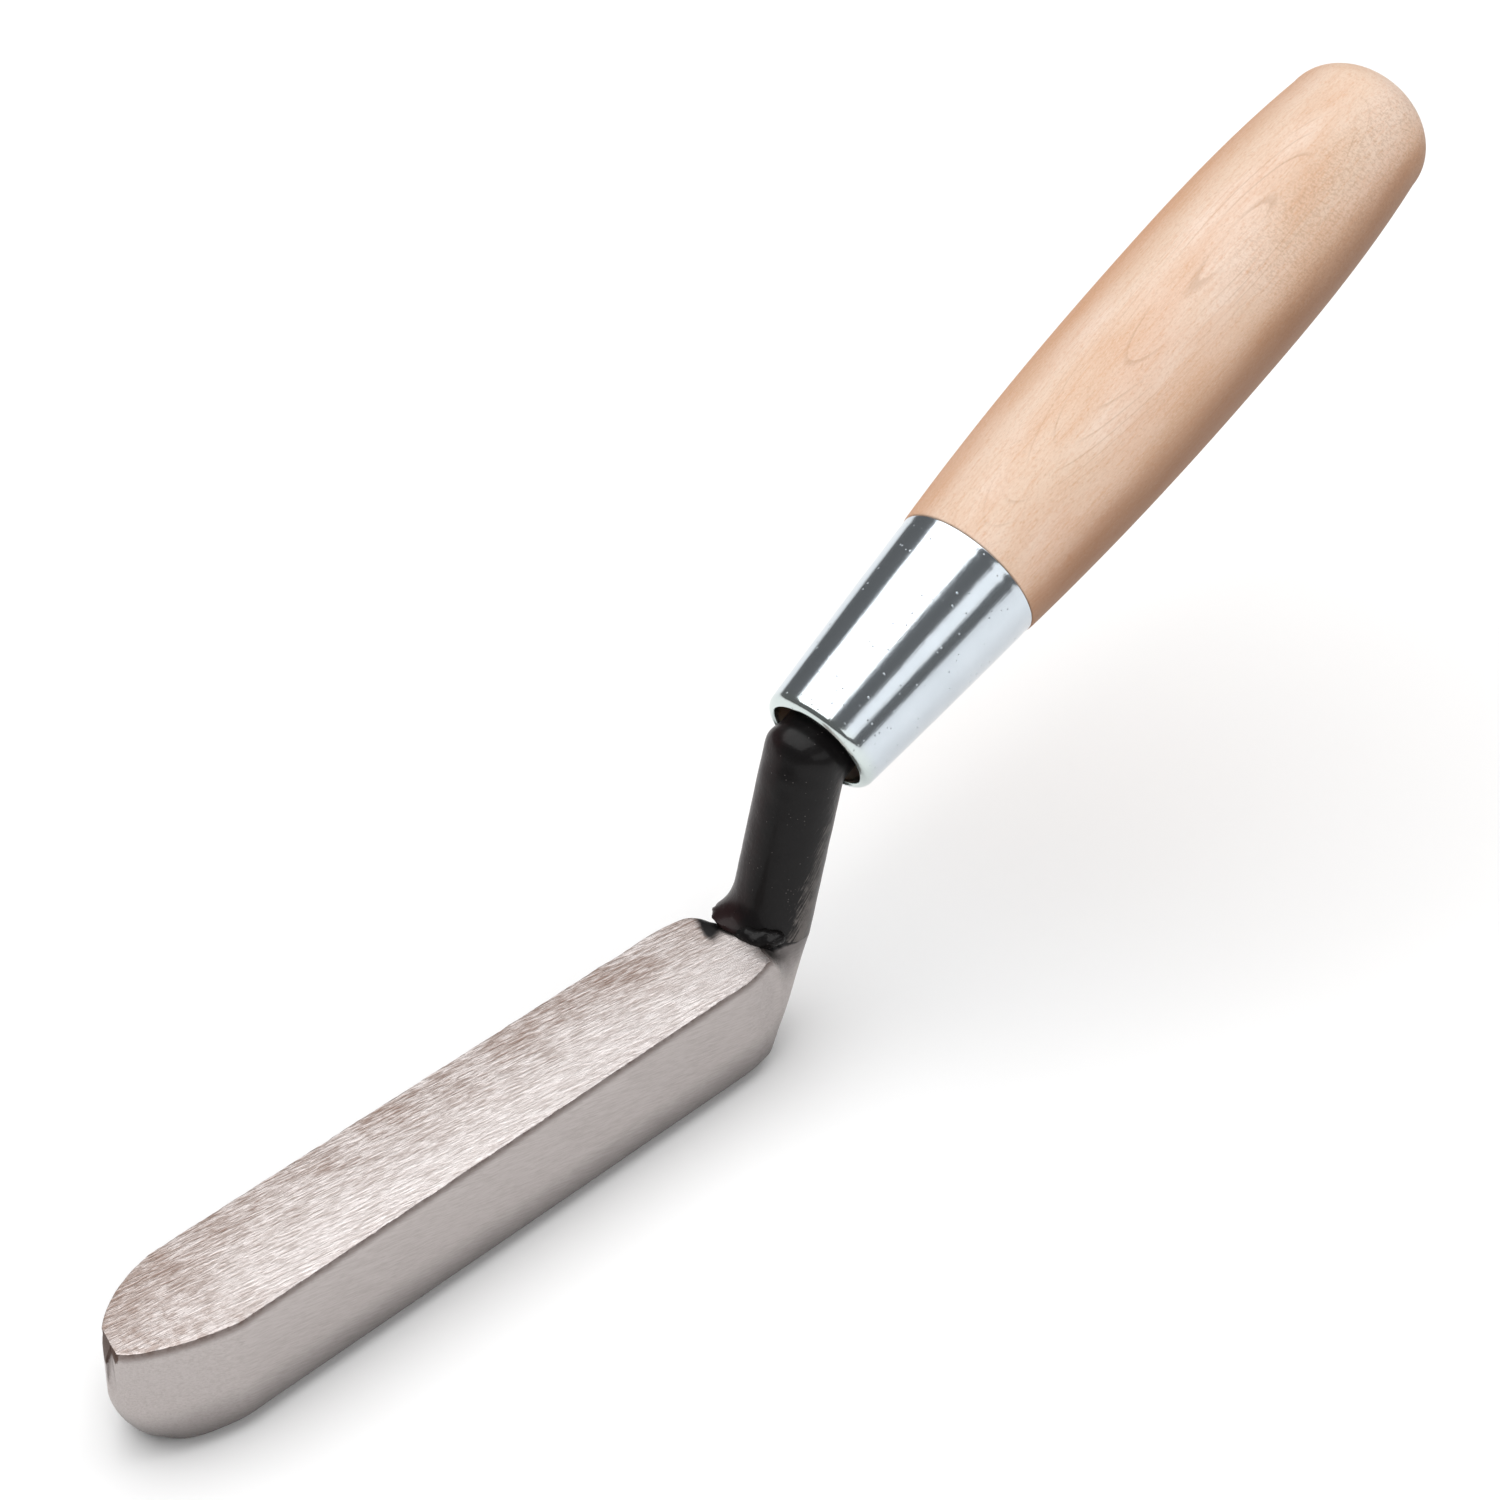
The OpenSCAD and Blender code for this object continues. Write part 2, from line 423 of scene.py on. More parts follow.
@dataclass(frozen=True)
class GroundSteel(Finish):
    """Bare steel with the short strokes of a grinding belt on it. The side finish also takes painted
    shade under its top edge and low down.
    """

    light: Colour
    dark: Colour
    stroke_turn: tuple[float, float, float]
    stroke_len: float
    stroke_width: float
    relief: float
    contrast: float
    roughness: float
    # How much painted shade under the top edge and low down, dark facet and paint haze on the heel the
    # finish takes
    shade_and_marks: float
    # Brown: the tint towards the far edge and near the tip; under the top edge near the tip it is
    # painted shade
    brown: Colour = (0.33, 0.235, 0.195, 1.0)
    # Dark brown: the painted shade under the top edge, and the tone of the worn facet at the tip
    dark_brown: Colour = (0.085, 0.048, 0.036, 1.0)
    # Painted shade low on the sides
    bottom_shade: Colour = (0.060, 0.051, 0.048, 1.0)

    def make(self) -> bpy.types.Material:
        """Makes the material.

        Returns:
            The material, painted black round the foot of the shank.
        """
        plan = self.plan
        graph = Graph(self.name)
        where = graph.where()
        along, across, up = graph.split(where)
        size = Vector((self.stroke_len, self.stroke_width, self.stroke_width))
        coarse = graph.grain(where, size, 2.0, 0.55, 0.55, turn=self.stroke_turn)
        fine = graph.grain(where, 0.45 * size, 3.0, 0.6, turn=self.stroke_turn)
        hairs = graph.grain(where, 0.20 * size, 2.0, 0.6, turn=self.stroke_turn)
        patches = graph.clouds(where, 1.0 / (9.0 * MM), 3.0, 0.55)
        far = across.step(-6.0 * MM, 9.0 * MM)
        strokes = (coarse * 0.46 + fine * 0.34 + hairs * 0.20).step(0.37, 0.61)
        depth = self.contrast * (0.55 + 0.45 * far) * (0.65 + 0.7 * patches)
        shade = (1.0 - strokes) * depth + (1.0 - patches.step(0.25, 0.75)) * 0.10 * self.contrast
        # Browner and more mottled towards the far edge of the top
        far_brown = far * patches.step(0.38, 0.66) * (1.0 - 0.6 * strokes) * 0.75 + far * 0.10
        # Browner near the tip, over the top face and the band just under its edge, mottled; the brown
        # under the edge is painted shade
        tip = along.step(plan.tip_x + 34.0 * MM, plan.tip_x + 4.0 * MM)
        under_top = up.step(plan.top_z - 1.7 * MM, plan.top_z - 0.2 * MM)
        blotch = graph.clouds(where, 1.0 / (1.6 * MM), 3.0, 0.65).step(0.42, 0.66)
        below = (plan.top_z - up) / MM + 0.22 * (blotch - 0.5)
        # Painted shade: a dark band just under the top edge, below its burr, mottled
        line = (below.step(0.0, 0.12) * below.step(1.9, 0.55) * (0.72 + 0.28 * blotch)) * self.shade_and_marks
        # Painted shade: the sides darker towards the bottom
        low = (up / MM + 1.6 * (patches - 0.5)).step(9.5, 1.2) * self.shade_and_marks
        reach = (plan.tip_x - along) * (-FACET_OUT[0] / MM) + (across - FACET_Y) / MM * FACET_OUT[1]
        facet = (reach - below * FACET_SLOPE + 0.3 * (blotch - 0.5)).step(-0.62, -0.40)
        facet = facet * below.step(3.6, 3.0) * self.shade_and_marks
        colour = graph.coats(
            graph.mix(shade, self.light, self.dark),
            (far_brown * self.contrast, self.brown),
            (tip * under_top * (0.25 + 0.55 * blotch) * 0.8, self.brown),
            # The next two coats are painted shade: under the top edge, then low on the sides
            (line * 0.82, self.dark_brown),
            (low * 0.85, self.bottom_shade),
            (facet * 0.92, self.dark_brown),
        )
        # Where the painted shade and the dark facet lie, the steel is made less metallic
        shade_and_facet = (line * 0.65).most(low * 0.90).most(facet * 0.7)
        gloss = self.roughness + 0.16 * (1.0 - strokes) + 0.10 * (patches - 0.5)
        relief = graph.bump(coarse * 0.5 + fine * 0.32 + hairs * 0.18, self.relief)
        steel = graph.surface({
            "Base Color": colour, "Metallic": 1.0 - shade_and_facet, "Roughness": gloss, "Normal": relief,
            "Specular IOR Level": 0.25,
        })
        paint = black_paint(graph, where)
        return graph.finish(graph.layer(self._paint_share(graph, where), steel, paint))

    def _paint_share(self, graph: Graph, where: Wire) -> Wire:
        """Returns how much of the steel the paint round the shank's foot covers."""
        plan = self.plan
        along, across, up = graph.split(where)
        reach_x = plan.shank_r / math.sin(plan.shank_angle)
        east = (along - (plan.foot_front.x + reach_x)) / reach_x
        north = across / plan.shank_r
        distance = (east * east + north * north).root()
        ragged = graph.clouds(where, 1.0 / (1.4 * MM), 3.0, 0.6) - 0.5
        ring = (distance + ragged * 0.22).step(1.27, 1.15)
        far = (distance + ragged * 0.22).step(1.85, 1.65) * (north - 0.25 * east).step(0.45, 0.80)
        ring = ring.most(far)
        high = (up + ragged * 1.2 * MM).step(plan.top_z - 3.0 * MM, plan.top_z - 1.6 * MM)
        heel = (distance + ragged * 0.35).step(1.75, 1.15)
        haze = (up + ragged * 3.0 * MM).step(plan.top_z - 9.0 * MM, plan.top_z - 2.5 * MM)
        return (ring * high).most(heel * haze * 0.62 * self.shade_and_marks)


PAINT_BLACK: Colour = (0.0055, 0.0048, 0.0050, 1.0)
PAINT_MAROON: Colour = (0.017, 0.0055, 0.006, 1.0)
PAINT_DUST: Colour = (0.16, 0.145, 0.14, 1.0)


def black_paint(graph: Graph, where: Wire, lumps: float = 0.05 * MM, maroon: Wire | float = 0.0) -> Wire:
    """Makes a surface of thick glossy black paint.

    Args:
        graph: The material's nodes.
        where: The place on the surface, in metres.
        lumps: How high the lumps in the coat stand.
        maroon: Where a reddish undercoat shows through.

    Returns:
        The painted surface.
    """
    peel = graph.clouds(where, 1.0 / (0.55 * MM), 2.0, 0.5)
    swell = graph.clouds(where, 1.0 / (2.4 * MM), 2.0, 0.5)
    dust = graph.cells(where, 1.0 / (0.7 * MM)).step(0.16, 0.08)
    some = graph.clouds(where, 1.0 / (3.1 * MM), 2.0, 0.5).step(0.50, 0.62)
    colour = graph.mix(maroon, PAINT_BLACK, PAINT_MAROON)
    colour = graph.mix(dust * some * 0.55, colour, PAINT_DUST)
    relief = graph.bump(swell * 0.7 + peel * 0.3, lumps)
    return graph.surface({
        "Base Color": colour, "Roughness": 0.27 + 0.20 * peel, "IOR": 1.5, "Normal": relief,
        "Specular IOR Level": 0.15, "Coat Weight": 0.14, "Coat Roughness": 0.12,
    })


@dataclass(frozen=True)
class GlossPaint(Finish):
    """Black paint on the shank, rubbed through to the steel low on its right flank; that grey steel is
    partly painted sheen.
    """

    # The grey of the rubbed flank, partly standing in as painted sheen
    steel: Colour = (0.21, 0.190, 0.178, 1.0)
    dull: Colour = (0.085, 0.077, 0.073, 1.0)

    def make(self) -> bpy.types.Material:
        """Returns the material."""
        plan = self.plan
        graph = Graph(self.name)
        where = graph.where()
        local = graph.place(plan.foot_centre, plan.shank_angle)
        back, north, height = graph.split(local)
        radius = plan.shank_r / MM
        right = (back * 0.68 - north * 0.74) / radius
        left = (back * -0.55 + north * 0.84) / radius
        ragged = graph.clouds(local, 0.55, 3.0, 0.6) - 0.5
        slant = (0.0, math.radians(24.0), 0.0)
        scratch = graph.grain(local, (0.30, 0.30, 4.5), 2.0, 0.6, turn=slant)
        edge = 0.44 + 0.018 * height
        # Paint rubbed through on the right flank, which also carries a painted sheen of the light on the
        # paint
        bare = (right + ragged * 0.45 + (scratch - 0.5) * 0.95 - edge).step(-0.06, 0.22)
        wear_and_sheen = bare * height.step(31.0, 20.0) * (0.42 + 0.34 * height.step(16.0, 3.0))
        shade = (scratch * 0.6 + ragged + 0.2).step(0.25, 0.75)
        steel = graph.surface({
            "Base Color": graph.mix(shade, self.dull, self.steel),
            "Metallic": 1.0, "Roughness": 0.36 + 0.15 * shade,
            "Normal": graph.bump(scratch, 0.04 * MM),
        })
        maroon = (left + ragged * 0.5).step(0.35, 0.95) * 0.75
        return graph.finish(graph.layer(wear_and_sheen, black_paint(graph, where, 0.10 * MM, maroon), steel))


@dataclass(frozen=True)
class WeldPaint(Finish):
    """The same paint over the rough run of the weld, with a few bright scuffs scattered on it."""

    steel: Colour = (0.30, 0.28, 0.27, 1.0)

    def make(self) -> bpy.types.Material:
        """Returns the material."""
        graph = Graph(self.name)
        where = graph.where()
        scuff = graph.clouds(where, 1.0 / (0.9 * MM), 4.0, 0.7, 0.4).step(0.60, 0.72)
        steel = graph.surface({
            "Base Color": self.steel, "Metallic": 1.0, "Roughness": 0.38,
            "Normal": graph.bump(scuff, 0.05 * MM),
        })
        return graph.finish(graph.layer(scuff * 0.35, black_paint(graph, where, 0.22 * MM), steel))


@dataclass(frozen=True)
class ZincPlate(Finish):
    """Bright zinc plate on drawn sheet steel, with fine draw lines and a few pimples."""

    bright: Colour = (0.67, 0.73, 0.785, 1.0)
    dull: Colour = (0.53, 0.59, 0.635, 1.0)
    olive: Colour = (0.62, 0.70, 0.60, 1.0)

    def make(self) -> bpy.types.Material:
        """Returns the material."""
        graph = Graph(self.name)
        local = graph.place(self.plan.mouth, self.plan.handle_angle)
        _, _, reach = graph.split(local)
        draw = graph.grain(local, (0.5, 0.5, 16.0), 3.0, 0.6)
        bloom = graph.clouds(local, 0.22, 4.0, 0.6)
        chosen = graph.clouds(local, 0.5, 1.0, 0.5).step(0.52, 0.60)
        pimple = graph.cells(local, 0.85).step(0.17, 0.10) * chosen
        colour = graph.mix((bloom - 0.25) * 0.8 + pimple * 0.4, self.bright, self.dull)
        colour = graph.mix(reach.step(3.0, 0.2) * 0.45, colour, self.olive)
        gloss = 0.105 + 0.05 * bloom + 0.03 * draw + 0.38 * pimple
        relief = graph.bump(pimple, 0.05 * MM, 0.8)
        relief = graph.bump(bloom * 0.7 + draw * 0.3, 0.028 * MM, 1.0, relief)
        return graph.finish(graph.surface({
            "Base Color": colour, "Metallic": 1.0, "Roughness": gloss, "Normal": relief,
        }))


@dataclass(frozen=True)
class TurnedWood(Finish):
    """Fine-grained pale hardwood, turned and lightly sealed, with painted shade and darker grain on its
    underside.
    """

    pale: Colour = (0.740, 0.560, 0.435, 1.0)
    warm: Colour = (0.580, 0.255, 0.098, 1.0)
    pink: Colour = (0.800, 0.635, 0.530, 1.0)
    umber: Colour = (0.200, 0.092, 0.044, 1.0)
    line: Colour = (0.400, 0.235, 0.140, 1.0)
    bare: Colour = (0.88, 0.72, 0.61, 1.0)
    knot: Colour = (0.20, 0.12, 0.075, 1.0)
    heart_turn: float = math.radians(25.0)
    heart_reach: float = 120.0
    ring_gap: float = 0.42
    ring_start: float = 0.235
    heart_lean: float = -0.012
    grip_r: float = 14.0

    def make(self) -> bpy.types.Material:
        """Returns the material."""
        graph = Graph(self.name)
        local = graph.place(self.plan.mouth, self.plan.handle_angle)
        down, north, reach = graph.split(local)
        drift = graph.grain(local, (26.0, 26.0, 60.0)) - 0.5
        heart_x = self.heart_reach * math.cos(self.heart_turn)
        heart_y = self.heart_reach * math.sin(self.heart_turn)
        dx, dy = down - heart_x, north - heart_y
        age = (dx * dx + dy * dy).root() - self.heart_lean * reach + 0.5 * drift + self.ring_start
        phase = (age / self.ring_gap).fraction()
        line = phase.step(0.80, 0.96) * phase.step(1.0, 0.97)
        chosen = graph.grain(local, (5.0, 5.0, 18.0), 1.0)
        facing = (down * -math.cos(self.heart_turn) - north * math.sin(self.heart_turn)) / self.grip_r
        flat_sawn = facing.step(0.84, 0.97)
        line = line * (0.14 + 0.86 * flat_sawn) * chosen.step(0.36, 0.60)

        fibre = graph.grain(local, (0.42, 0.42, 9.0), 3.0, 0.6)
        pores = graph.grain(local, (0.16, 0.16, 0.55), 2.0, 0.6)
        broad = graph.grain(local, (7.0, 7.0, 30.0), 3.0, 0.5)
        blush = graph.grain(local, (11.0, 11.0, 24.0), turn=(0.0, 0.0, 0.3))
        flank = north.step(1.0, 12.5)
        # Painted shade with darker grain: the underside, turned from the light, is warmer and darker
        under = (down * 0.596 - north * 0.803) / self.grip_r

        mottle = graph.grain(local, (0.42, 0.42, 0.95), 3.0, 0.65)
        fleck_turn = (0.0, math.radians(62.0), math.radians(20.0))
        fleck = graph.grain(local, (0.28, 0.7, 0.95), 2.0, 0.55, 0.9, turn=fleck_turn).step(0.48, 0.60)
        quarter = north.step(-3.5, -9.5) * reach.step(84.0, 108.0)
        knot = graph.cells(graph.stretch(local, UNTURNED, (13.0, 13.0, 13.0)), 1.0).step(0.036, 0.022)

        colour = graph.coats(
            graph.mix(blush.step(0.38, 0.66) * 0.7, self.pale, self.pink),
            (broad.step(0.42, 0.72) * 0.30, self.warm),
            # The far flank warmer; the underside warmer as painted shade with darker grain
            (flank * 0.80 + under.step(0.20, 0.85) * 0.50, self.warm),
            (mottle.step(0.50, 0.70) * 0.24, self.warm),
            (fibre.step(0.45, 0.75) * 0.26, self.warm),
            (pores.step(0.52, 0.74) * 0.28, self.line),
            (pores.step(0.48, 0.28) * 0.24, self.bare),
            (line * 0.36, self.line),
            (fleck * quarter * 0.30, self.line),
            # Painted shade with darker grain on the underside
            ((under + 0.16 * (broad - 0.5)).step(0.42, 0.98) * 0.80, self.umber),
            (knot * 0.65, self.knot),
        )
        relief = graph.bump(fibre * 0.5 + pores * 0.5, 0.020 * MM)
        gloss = 0.46 + 0.10 * pores + 0.08 * broad
        return graph.finish(graph.surface({
            "Base Color": colour, "Roughness": gloss, "IOR": 1.45, "Normal": relief,
            "Specular IOR Level": 0.30,
        }))


# ---- pieces


@dataclass
class Piece:
    """What every piece has: the plan, its name, slot and CAD node, and its finishes."""

    plan: Plan
    name: str
    slot: Slot
    node: str
    finishes: Sequence[Finish]

    def shape(self) -> bmesh.types.BMesh:
        """Returns the piece's mesh, in place."""
        raise NotImplementedError

    def sort_faces(self, mesh: bmesh.types.BMesh) -> None:
        """Gives each face the number of its finish. One finish needs nothing."""

    def build(self) -> bpy.types.Object:
        """Makes the object, finishes it and sets it on the frame.

        Returns:
            The finished piece.
        """
        mesh = self.shape()
        bmesh.ops.recalc_face_normals(mesh, faces=list(mesh.faces))
        for face in mesh.faces:
            face.smooth = True
        for edge in mesh.edges:
            edge.smooth = edge.calc_face_angle(0.0) < CREASE
        self.sort_faces(mesh)
        data = bpy.data.meshes.new(self.name)
        mesh.to_mesh(data)
        mesh.free()
        for finish in self.finishes:
            data.materials.append(finish.make())
        piece = bpy.data.objects.new(self.name, data)
        bpy.context.scene.collection.objects.link(piece)
        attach(piece, ROOT)
        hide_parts(self.node)
        return piece


class Mark(NamedTuple):
    """One point of half a section: its place, its turn on a round section, its share of wear."""

    across: float
    down: float
    turn: float
    wear: float


@dataclass
class Section:
    """A cross-section of the blade."""

    half: float
    depth: float
    edge: float
    flat: float
    drop: float
    burr: float


@dataclass
class Blade(Piece):
    """The solid blade: flat ground top, crisp edges, round nose and a heel that runs into the shank."""

    nose_half: float = 9.9 * MM
    heel_half: float = 9.4 * MM
    nose_len: float = 17.2 * MM
    nose_run: float = 1.4
    nose_spread: float = 1.7
    nose_lean: float = 1.15 * MM
    lean_len: float = 4.5 * MM
    sweep_len: float = 11.0 * MM
    sweep_power: float = 2.6
    edge_r: float = 4.5 * MM
    shoulder_len: float = 9.0 * MM
    heel_back: float = 5.2 * MM
    heel_r: float = 1.5 * MM
    heel_bulge: float = 1.2 * MM
    round_from: float = 0.35
    end_corner_r: float = 5.6 * MM
    tip_turn: float = math.radians(12.0)
    burr: float = 0.26 * MM
    facet_depth: float = 3.0 * MM
    facet_cut: float = 0.92
    corner_width: float = 0.16 * MM
    corner_drop: float = 0.11 * MM
    heel_flat_to: float = 0.3
    heel_corner_to: float = 0.6
    round_turns: tuple[float, float, float, float] = (42.0, 78.0, 108.0, 150.0)
    top_wave: float = 0.055 * MM
    edge_loss: float = 0.07 * MM
    side_wave: float = 0.05 * MM
    pit_depth: float = 1.0 * MM
    top_count: int = 22
    shoulder_count: int = 4
    side_count: int = 16
    edge_count: int = 12
    sole_count: int = 5
    nose_rings: int = 84
    bar_rings: int = 270
    heel_rings: int = 84

    @property
    def nose_x(self) -> float:
        """Where the nose begins."""
        return self.plan.tip_x + self.nose_len * math.cos(self.tip_turn)

    @property
    def heel_start_x(self) -> float:
        """Where the heel begins to narrow."""
        return self.plan.foot_front.x - self.shoulder_len

    def _half(self, section: Section) -> list[Mark]:
        """Draws half a section.

        Args:
            section: The section's sizes.

        Returns:
            Its points from the middle of the top to the middle of the sole.
        """
        half, flat, drop = section.half, section.flat, section.drop
        on_top, on_shoulder, on_side, on_edge = self.round_turns
        edge = min(section.edge, 0.92 * half, 0.92 * (section.depth - drop))
        fall = section.depth - edge
        hollow = min(1.8 * MM, 0.55 * (fall - drop))
        marks = []
        for k in range(self.top_count):
            share = k / self.top_count
            share = 1.0 - (1.0 - share) ** 1.35
            turn = math.radians(on_top * share)
            marks.append(Mark(flat * share, 0.0, turn, clamp01(6.0 * share - 5.0)))
        for k in range(self.shoulder_count + 1):
            a = math.radians(90.0 * k / self.shoulder_count)
            turn = math.radians(between(on_top, on_shoulder, k / self.shoulder_count))
            out = flat + (half - flat) * math.sin(a)
            marks.append(Mark(out, drop * (1.0 - math.cos(a)), turn, 1.0))
        for k in range(1, self.side_count + 1):
            share = (k / self.side_count) ** 1.9
            down = between(drop, fall, share)
            dip = clamp01((down - drop) / hollow)
            cut = section.burr * min(dip / 0.16, 1.0) * (1.0 - ease(dip))
            wear = 0.5 * (1.0 - clamp01(2.5 * dip))
            turn = math.radians(between(on_shoulder, on_side, share))
            marks.append(Mark(half - cut, down, turn, wear))
        for k in range(1, self.edge_count + 1):
            a = math.radians(90.0 * k / self.edge_count)
            turn = math.radians(between(on_side, on_edge, k / self.edge_count))
            marks.append(Mark(half - edge + edge * math.cos(a), fall + edge * math.sin(a), turn, 0.0))
        for k in range(1, self.sole_count + 1):
            share = k / self.sole_count
            turn = math.radians(between(on_edge, 180.0, share))
            marks.append(Mark((half - edge) * (1.0 - share), section.depth, turn, 0.0))
        return marks

    def _ring(self, top: Vector, foot: Vector, section: Section, roundness: float) -> Ring:
        """Sets a section in its plane.

        Args:
            top: The middle of its top.
            foot: The middle of its sole.
            section: The section's sizes. Its depth is set here.
            roundness: 0 for the flat-topped section, 1 for a circle.

        Returns:
            The closed ring of points.
        """
        section.depth = (foot - top).length
        axis = (foot - top) / section.depth
        radius = section.depth / 2.0
        marks = self._half(section)
        points: list[tuple[Vector, float]] = []
        for side, chosen in ((1.0, marks), (-1.0, marks[-2:0:-1])):
            for mark in chosen:
                across = between(mark.across, radius * math.sin(mark.turn), roundness)
                down = between(mark.down, radius * (1.0 - math.cos(mark.turn)), roundness)
                point = top + axis * down + ACROSS * (side * across)
                points.append((point, mark.wear * (1.0 - roundness)))
        return [self._worn(point, top.y, wear) for point, wear in points]

    def _worn(self, point: Vector, middle: float, wear: float) -> Vector:
        """Moves a point as grinding and handling have.

        Args:
            point: The point on the true shape.
            middle: Where the middle of its section is, across the blade.
            wear: How near it is to the edge of the top face, from 0 to 1.

        Returns:
            The point on the real surface.
        """
        plan = self.plan
        moved = point.copy()
        near_top = clamp01(1.0 - (plan.top_z - point.z) / (2.0 * MM))
        wave = 0.5 + 0.5 * unevenness(Vector((point.x * 0.5, point.y, 0.0)), 4.2 * MM, 3.0)
        moved.z -= self.top_wave * wave * near_top
        off = point.y - middle
        side = math.copysign(min(abs(off) / (0.5 * MM), 1.0), off)
        nick = unevenness(point, 0.75 * MM, 8.0) * 0.07 + unevenness(point, 3.4 * MM, 5.0) * 0.10
        moved.y += side * nick * wear * MM
        loss = 0.5 + 0.5 * unevenness(point, 0.9 * MM, 2.0)
        moved.z -= self.edge_loss * loss * wear * near_top
        bulge = unevenness(Vector((point.x, 0.0, point.z)), 14.0 * MM, 6.0)
        moved.y += side * bulge * self.side_wave * (1.0 - wear)
        pit = Vector((plan.foot_front.x + 0.9 * MM, 5.9 * MM))
        away = math.hypot((point.x - pit.x) / 1.5, abs(point.y) - pit.y) / (1.0 * MM)
        moved.z -= self.pit_depth * math.exp(-away * away) * near_top
        over = self._past_facet(moved)
        if over > 0.0 and moved.z > plan.top_z - 1.1 * self.facet_depth:
            moved -= self.facet_cut * over * Vector(FACET_OUT)
        return moved

    def _past_facet(self, point: Vector) -> float:
        """Returns how far a point is in front of the steep worn facet at the tip."""
        corner = Vector((self.plan.tip_x, FACET_Y, self.plan.top_z))
        reach = (point - corner).dot(Vector(FACET_OUT))
        return reach - FACET_SLOPE * (self.plan.top_z - point.z)

    def _rise(self, ahead: float) -> float:
        """Returns how high the sole has swept up at a distance ahead of the nose's start."""
        share = clamp01((ahead - self.nose_len + self.sweep_len) / self.sweep_len)
        return self.plan.top_z * (1.0 - (1.0 - share ** self.sweep_power) ** (1.0 / self.sweep_power))

    def _upright(self, x: float, rise: float, half: float) -> Ring:
        """Returns a ring that stands upright across the blade."""
        corner = min(self.corner_width, 0.25 * half)
        section = Section(half, 0.0, self.edge_r + rise, half - corner, self.corner_drop, self.burr)
        lean = -self.nose_lean * math.exp((self.plan.tip_x - x) / self.lean_len)
        return self._ring(Vector((x, lean, self.plan.top_z)), Vector((x, lean, rise)), section, 0.0)

    def _heel_foot(self, share: float) -> Vector:
        """Returns the underside's middle line from the flat sole, round the corner, to the shank."""
        plan = self.plan
        corner = Vector((plan.foot_front.x - self.shoulder_len * 2.0 / 3.0 + self.heel_back, 0.0, 0.0))
        back = plan.foot_centre + plan.shank_r * plan.shank_back
        up = (back - corner).normalized()
        into, out = corner - Vector((self.heel_r, 0.0, 0.0)), corner + self.heel_r * up
        flat_to, corner_to = self.heel_flat_to, self.heel_corner_to
        if share < flat_to:
            return between(Vector((self.heel_start_x, 0.0, 0.0)), into, share / flat_to)
        if share < corner_to:
            part = (share - flat_to) / (corner_to - flat_to)
            return between(between(into, corner, part), between(corner, out, part), part)
        part = (share - corner_to) / (1.0 - corner_to)
        bulge = 4.0 * part * (1.0 - part) * self.heel_bulge
        return between(out, back, part) + bulge * Vector((up.z, 0.0, -up.x))

    def _heel(self, share: float) -> Ring:
        """Returns a ring of the heel, from the bar at 0 to the shank's foot at 1."""
        plan = self.plan
        soft = ease(share)
        start = Vector((self.heel_start_x, 0.0, plan.top_z))
        top = between(start, plan.foot_front, clamp01(share / self.heel_corner_to))
        half = between(self.heel_half, plan.shank_r, soft)
        end_x = plan.foot_front.x - 0.5 * MM
        past = clamp01((top.x - (end_x - self.end_corner_r)) / self.end_corner_r)
        flat = self.heel_half - 0.3 * MM - self.end_corner_r * (1.0 - math.sqrt(1.0 - past * past))
        flat = min(flat, half - self.corner_width)
        drop = self.corner_drop + 0.42 * (half - flat - self.corner_width)
        edge = between(self.edge_r, plan.shank_r, soft)
        section = Section(half, 0.0, edge, flat, drop, self.burr * (1.0 - past))
        roundness = ease((share - self.round_from) / (1.0 - self.round_from))
        return self._ring(top, self._heel_foot(share), section, roundness)

    def shape(self) -> bmesh.types.BMesh:
        """Returns the blade's mesh."""
        rings = []
        for k in range(self.nose_rings):
            turn = between(self.tip_turn, math.pi / 2.0, k / self.nose_rings)
            ahead = self.nose_len * math.cos(turn)
            half = self.nose_half * (1.0 - math.cos(turn) ** self.nose_run) ** (1.0 / self.nose_spread)
            rings.append(self._upright(self.nose_x - ahead, self._rise(ahead), half))
        for k in range(self.bar_rings):
            share = k / self.bar_rings
            x = between(self.nose_x, self.heel_start_x, share)
            half = between(self.nose_half, self.heel_half, share)
            rings.append(self._upright(x, self._rise(self.nose_x - x), half))
        rings.extend(self._heel(k / self.heel_rings) for k in range(self.heel_rings + 1))
        return skin_over(rings)

    def sort_faces(self, mesh: bmesh.types.BMesh) -> None:
        """Gives the top face the first finish, the coarse one, and the rest the second."""
        for face in mesh.faces:
            middle = face.calc_center_median()
            flat = face.normal.z > 0.7 and middle.z > self.plan.top_z - 0.5 * MM
            face.material_index = 0 if flat else 1


